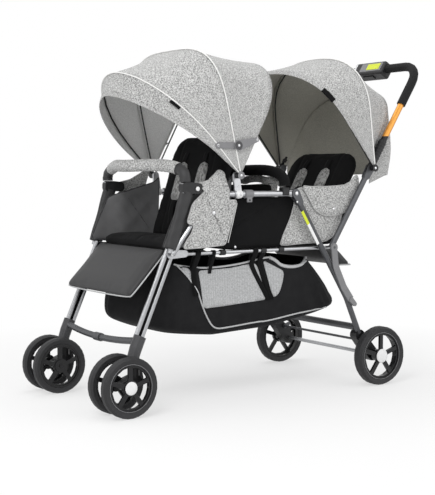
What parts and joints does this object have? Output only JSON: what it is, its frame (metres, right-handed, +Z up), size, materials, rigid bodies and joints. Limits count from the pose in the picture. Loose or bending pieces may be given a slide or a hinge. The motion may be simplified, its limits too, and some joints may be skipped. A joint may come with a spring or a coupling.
{
  "type": "tandem pushchair",
  "caption": "Tandem pushchair with one seat behind the other, two grey folding hoods, twin swivelling front wheels, a long black basket and a U-shaped handle",
  "frame": {"origin": "on the floor at the middle of the footprint", "axes": "+X to the pushchair's left, -Y forwards, +Z up"},
  "size_m": [0.564, 1.2196, 1.0507],
  "materials": {
    "satin_aluminium": "satin anodised tube",
    "grey_powder_coat": "dark grey metallic powder coat",
    "black_plastic": "moulded, lightly textured",
    "grey_plastic": "moulded, satin",
    "white_plastic": "smooth",
    "black_tyre": "foamed tyre, matt",
    "black_foam": "closed-cell foam",
    "grey_melange_fabric": "woven melange",
    "black_fabric": "woven, matt",
    "dark_leatherette": "grained leatherette"
  },
  "bodies": {
    "frame": {"side_frame_left": "satin_aluminium", "side_frame_right": "satin_aluminium", "lower_rail_left": "satin_aluminium", "lower_rail_right": "satin_aluminium", "lower_handle_left": "grey_powder_coat", "lower_handle_right": "grey_powder_coat", "front_seat": "black_fabric", "rear_seat": "black_fabric", "basket": "black_fabric", "front_hood_rear_bow": "black_plastic"},
    "front_legs": {"front_leg_left": "satin_aluminium", "front_leg_right": "satin_aluminium", "front_sleeve_left": "grey_plastic", "front_sleeve_right": "grey_plastic", "front_cross_bar": "grey_powder_coat"},
    "rear_legs": {"rear_leg_left": "grey_powder_coat", "rear_leg_right": "grey_powder_coat", "rear_cross_tube": "grey_powder_coat", "rear_axle": "satin_aluminium", "axle_bracket_left": "black_plastic", "axle_bracket_right": "black_plastic"},
    "caster_left": {"caster_fork_left": "black_plastic"},
    "front_wheel_left_outer": {"front_left_outer_tyre": "black_tyre", "front_left_outer_rim": "black_plastic"},
    "front_wheel_left_inner": {"front_left_inner_tyre": "black_tyre", "front_left_inner_rim": "black_plastic"},
    "rear_wheel_left": {"rear_left_tyre": "black_tyre", "rear_left_rim": "black_plastic"},
    "lock_plate_left": {"lock_plate_left": "grey_plastic"},
    "bumper_button_left": {"bumper_button_left": "white_plastic"},
    "caster_right": {"caster_fork_right": "black_plastic"},
    "front_wheel_right_outer": {"front_right_outer_tyre": "black_tyre", "front_right_outer_rim": "black_plastic"},
    "front_wheel_right_inner": {"front_right_inner_tyre": "black_tyre", "front_right_inner_rim": "black_plastic"},
    "rear_wheel_right": {"rear_right_tyre": "black_tyre", "rear_right_rim": "black_plastic"},
    "lock_plate_right": {"lock_plate_right": "grey_plastic"},
    "bumper_button_right": {"bumper_button_right": "white_plastic"},
    "brake_bar": {"brake_bar": "grey_powder_coat"},
    "handle": {"handle_tube": "satin_aluminium", "handle_grip": "black_foam", "handle_console": "grey_plastic"},
    "fold_trigger": {"fold_trigger": "black_plastic"},
    "front_backrest": {"front_backrest": "black_fabric"},
    "rear_backrest": {"rear_backrest": "black_fabric"},
    "footrest": {"footrest": "dark_leatherette"},
    "front_bumper": {"front_bumper": "grey_melange_fabric"},
    "rear_bumper": {"rear_bumper": "dark_leatherette"},
    "front_hood_middle": {"front_hood_middle_bow": "black_plastic", "front_hood_fabric": "grey_melange_fabric"},
    "front_hood_front": {"front_hood_front_bow": "black_plastic"},
    "stay_rear_left": {"stay_rear_link_left": "grey_plastic"},
    "stay_front_left": {"stay_front_link_left": "grey_plastic"},
    "stay_rear_right": {"stay_rear_link_right": "grey_plastic"},
    "stay_front_right": {"stay_front_link_right": "grey_plastic"},
    "rear_hood_middle": {"rear_hood_middle_bow": "black_plastic", "rear_hood_fabric": "grey_melange_fabric"},
    "rear_hood_front": {"rear_hood_front_bow": "black_plastic"}
  },
  "joints": [
    {"name": "front_legs_fold", "type": "hinge", "parent": "frame", "child": "front_legs", "pos_m": [0, -0.36403, 0.445], "axis": [1, 0, 0], "range_deg": [0, 25]},
    {"name": "rear_legs_fold", "type": "hinge", "parent": "frame", "child": "rear_legs", "pos_m": [0, 0.07397, 0.613], "axis": [-1, 0, 0], "range_deg": [0, 33.34]},
    {"name": "caster_swivel_left", "type": "hinge", "parent": "front_legs", "child": "caster_left", "pos_m": [0.218, -0.48403, 0.085], "axis": [0, 0, 1], "continuous": true},
    {"name": "front_wheel_left_outer", "type": "hinge", "parent": "caster_left", "child": "front_wheel_left_outer", "pos_m": [0.256, -0.51903, 0.085], "axis": [1, 0, 0], "continuous": true},
    {"name": "front_wheel_left_inner", "type": "hinge", "parent": "caster_left", "child": "front_wheel_left_inner", "pos_m": [0.18, -0.51903, 0.085], "axis": [1, 0, 0], "continuous": true},
    {"name": "rear_wheel_left", "type": "hinge", "parent": "rear_legs", "child": "rear_wheel_left", "pos_m": [0.263, 0.39097, 0.093], "axis": [1, 0, 0], "continuous": true},
    {"name": "lock_left", "type": "hinge", "parent": "frame", "child": "lock_plate_left", "pos_m": [0.229, 0.21797, 0.444], "axis": [1, 0, 0], "range_deg": [0, 18], "stiffness_Nm_per_rad": 0.6},
    {"name": "bumper_release_left", "type": "slide", "parent": "frame", "child": "bumper_button_left", "axis": [-1, 0, 0], "range_m": [0, 0.0025], "stiffness_N_per_m": 400},
    {"name": "caster_swivel_right", "type": "hinge", "parent": "front_legs", "child": "caster_right", "pos_m": [-0.218, -0.48403, 0.085], "axis": [0, 0, 1], "continuous": true},
    {"name": "front_wheel_right_outer", "type": "hinge", "parent": "caster_right", "child": "front_wheel_right_outer", "pos_m": [-0.256, -0.51903, 0.085], "axis": [1, 0, 0], "continuous": true},
    {"name": "front_wheel_right_inner", "type": "hinge", "parent": "caster_right", "child": "front_wheel_right_inner", "pos_m": [-0.18, -0.51903, 0.085], "axis": [1, 0, 0], "continuous": true},
    {"name": "rear_wheel_right", "type": "hinge", "parent": "rear_legs", "child": "rear_wheel_right", "pos_m": [-0.263, 0.39097, 0.093], "axis": [1, 0, 0], "continuous": true},
    {"name": "lock_right", "type": "hinge", "parent": "frame", "child": "lock_plate_right", "pos_m": [-0.229, 0.21797, 0.444], "axis": [1, 0, 0], "range_deg": [0, 18], "stiffness_Nm_per_rad": 0.6},
    {"name": "bumper_release_right", "type": "slide", "parent": "frame", "child": "bumper_button_right", "axis": [1, 0, 0], "range_m": [0, 0.0025], "stiffness_N_per_m": 400},
    {"name": "brake", "type": "hinge", "parent": "rear_legs", "child": "brake_bar", "pos_m": [0, 0.36797, 0.136], "axis": [-1, 0, 0], "range_deg": [0, 25]},
    {"name": "handle_fold", "type": "hinge", "parent": "frame", "child": "handle", "pos_m": [0, 0.37529, 0.69], "axis": [-1, 0, 0], "range_deg": [0, 110]},
    {"name": "fold_trigger_slide", "type": "slide", "parent": "handle", "child": "fold_trigger", "axis": [0, 0.5388, 0.8425], "range_m": [0, 0.005], "stiffness_N_per_m": 500},
    {"name": "front_recline", "type": "hinge", "parent": "frame", "child": "front_backrest", "pos_m": [0, -0.20633, 0.466], "axis": [-1, 0, 0], "range_deg": [0, 13]},
    {"name": "rear_recline", "type": "hinge", "parent": "frame", "child": "rear_backrest", "pos_m": [0, 0.22437, 0.466], "axis": [-1, 0, 0], "range_deg": [0, 14]},
    {"name": "footrest_lift", "type": "hinge", "parent": "frame", "child": "footrest", "pos_m": [0, -0.36713, 0.462], "axis": [-1, 0, 0], "range_deg": [0, 45]},
    {"name": "front_bumper_lift", "type": "slide", "parent": "frame", "child": "front_bumper", "axis": [0, 0, 1], "range_m": [0, 0.04]},
    {"name": "rear_bumper_lift", "type": "slide", "parent": "frame", "child": "rear_bumper", "axis": [0, 0, 1], "range_m": [0, 0.04]},
    {"name": "front_hood_fold", "type": "hinge", "parent": "frame", "child": "front_hood_middle", "pos_m": [0, -0.14303, 0.668], "axis": [-1, 0, 0], "range_deg": [0, 36], "deforming": ["front_hood_fabric"]},
    {"name": "front_hood_front_fold", "type": "hinge", "parent": "front_hood_middle", "child": "front_hood_front", "pos_m": [0, -0.14303, 0.668], "axis": [-1, 0, 0], "range_deg": [0, 25]},
    {"name": "stay_rear_left", "type": "hinge", "parent": "frame", "child": "stay_rear_left", "pos_m": [0.2563, -0.08787, 0.77175], "axis": [-1, 0, 0], "range_deg": [0, 119.26]},
    {"name": "stay_front_left", "type": "hinge", "parent": "front_hood_front", "child": "stay_front_left", "pos_m": [0.253, -0.22317, 0.75393], "axis": [1, 0, 0], "range_deg": [0, 119.26]},
    {"name": "stay_rear_right", "type": "hinge", "parent": "frame", "child": "stay_rear_right", "pos_m": [-0.2563, -0.08787, 0.77175], "axis": [-1, 0, 0], "range_deg": [0, 119.26]},
    {"name": "stay_front_right", "type": "hinge", "parent": "front_hood_front", "child": "stay_front_right", "pos_m": [-0.253, -0.22317, 0.75393], "axis": [1, 0, 0], "range_deg": [0, 119.26]},
    {"name": "rear_hood_fold", "type": "hinge", "parent": "frame", "child": "rear_hood_middle", "pos_m": [0, 0.37529, 0.69], "axis": [-1, 0, 0], "range_deg": [0, 28], "deforming": ["rear_hood_fabric"]},
    {"name": "rear_hood_front_fold", "type": "hinge", "parent": "rear_hood_middle", "child": "rear_hood_front", "pos_m": [0, 0.37529, 0.69], "axis": [-1, 0, 0], "range_deg": [0, 26]}
  ],
  "couplings": [
    {"joint": "rear_legs_fold", "follows": "front_legs_fold", "ratio": 1.3333},
    {"joint": "front_hood_front_fold", "follows": "front_hood_fold", "ratio": 0.69444},
    {"joint": "stay_rear_left", "follows": "front_hood_fold", "ratio": 3.3114},
    {"joint": "stay_front_left", "follows": "front_hood_fold", "ratio": 3.3114},
    {"joint": "stay_rear_right", "follows": "front_hood_fold", "ratio": 3.3114},
    {"joint": "stay_front_right", "follows": "front_hood_fold", "ratio": 3.3114},
    {"joint": "rear_hood_front_fold", "follows": "rear_hood_fold", "ratio": 0.92857}
  ]
}
